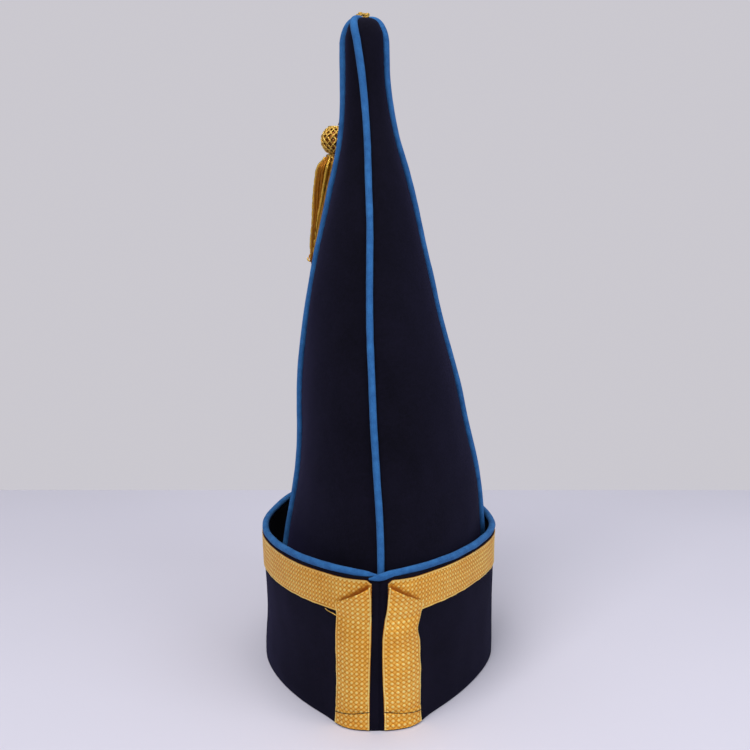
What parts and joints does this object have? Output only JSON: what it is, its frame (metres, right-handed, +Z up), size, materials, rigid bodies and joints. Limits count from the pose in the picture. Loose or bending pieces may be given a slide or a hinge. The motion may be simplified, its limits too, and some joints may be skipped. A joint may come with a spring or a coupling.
{
  "type": "forage cap",
  "caption": "Tall pointed wool forage cap: stiff laced turban round a four-gore piped bag that folds over, with a hanging tassel.",
  "frame": {"origin": "middle of the hem face that the cap stands on", "axes": "+Z up from the hem to the tip, -Y the front where the lace strips meet, +X to the right seen from the front"},
  "size_m": [0.1702, 0.2395, 0.4566],
  "materials": {
    "navy_wool": "fulled wool, slight nap",
    "blue_piping": "wool-covered cord",
    "gold_lace": "woven metallic lace",
    "dark_thread": "thread",
    "stiff_canvas": "sized canvas",
    "lining_cotton": "plain weave cotton",
    "sweatband_leather": "satin",
    "gold_bullion": "twisted metallic thread",
    "turned_wood": "plain",
    "wadding": "wool wadding"
  },
  "bodies": {
    "turban": {"turban_left_cloth": "navy_wool", "turban_right_cloth": "navy_wool", "turban_canvas": "stiff_canvas", "turban_lining": "lining_cotton", "hem": "navy_wool", "rim_piping": "blue_piping", "sweatband": "sweatband_leather", "lace_band": "gold_lace", "lace_strip_left": "gold_lace", "lace_strip_right": "gold_lace", "lace_fold_left": "gold_lace", "lace_fold_right": "gold_lace", "lace_stitches": "dark_thread", "bag_canvas_lower": "stiff_canvas", "bag_front_left_gore": "navy_wool", "bag_front_right_gore": "navy_wool", "bag_rear_left_gore": "navy_wool", "bag_rear_right_gore": "navy_wool", "bag_front_piping": "blue_piping", "bag_rear_piping": "blue_piping", "bag_left_piping": "blue_piping", "bag_right_piping": "blue_piping"},
    "bag_middle": {"bag_canvas_middle": "stiff_canvas"},
    "bag_tip": {"bag_canvas_upper": "stiff_canvas", "tip_wadding": "wadding"},
    "tassel_swivel": {"tip_knot": "gold_bullion"},
    "tassel_hanger": {"tassel_cord": "gold_bullion"},
    "tassel": {"tassel_head_core": "turned_wood", "tassel_net": "gold_bullion", "tassel_binding": "gold_bullion", "tassel_fringe": "gold_bullion"}
  },
  "joints": [
    {"name": "bag_lower_fold", "type": "hinge", "parent": "turban", "child": "bag_middle", "pos_m": [-0.0027, 0, 0.226], "axis": [0, 1, 0], "range_deg": [-75, 75], "deforming": ["bag_front_left_gore", "bag_front_right_gore", "bag_rear_left_gore", "bag_rear_right_gore", "bag_front_piping", "bag_rear_piping", "bag_left_piping", "bag_right_piping"]},
    {"name": "bag_upper_fold", "type": "hinge", "parent": "bag_middle", "child": "bag_tip", "pos_m": [-0.0065, 0, 0.352], "axis": [0, 1, 0], "range_deg": [0, 75], "deforming": ["bag_front_left_gore", "bag_front_right_gore", "bag_rear_left_gore", "bag_rear_right_gore", "bag_front_piping", "bag_rear_piping", "bag_left_piping", "bag_right_piping"]},
    {"name": "tassel_swing", "type": "hinge", "parent": "bag_tip", "child": "tassel_swivel", "pos_m": [-0.0095, 0.001, 0.4536], "axis": [0.7682, 0.6402, 0], "range_deg": [0, 140]},
    {"name": "tassel_sway", "type": "hinge", "parent": "tassel_swivel", "child": "tassel_hanger", "pos_m": [-0.0095, 0.001, 0.4536], "axis": [-0.6402, 0.7682, 0], "range_deg": [-60, 60]},
    {"name": "tassel_nod", "type": "hinge", "parent": "tassel_hanger", "child": "tassel", "pos_m": [-0.02879, 0.02679, 0.38193], "axis": [0.7682, 0.6402, 0], "range_deg": [0, 60]}
  ]
}
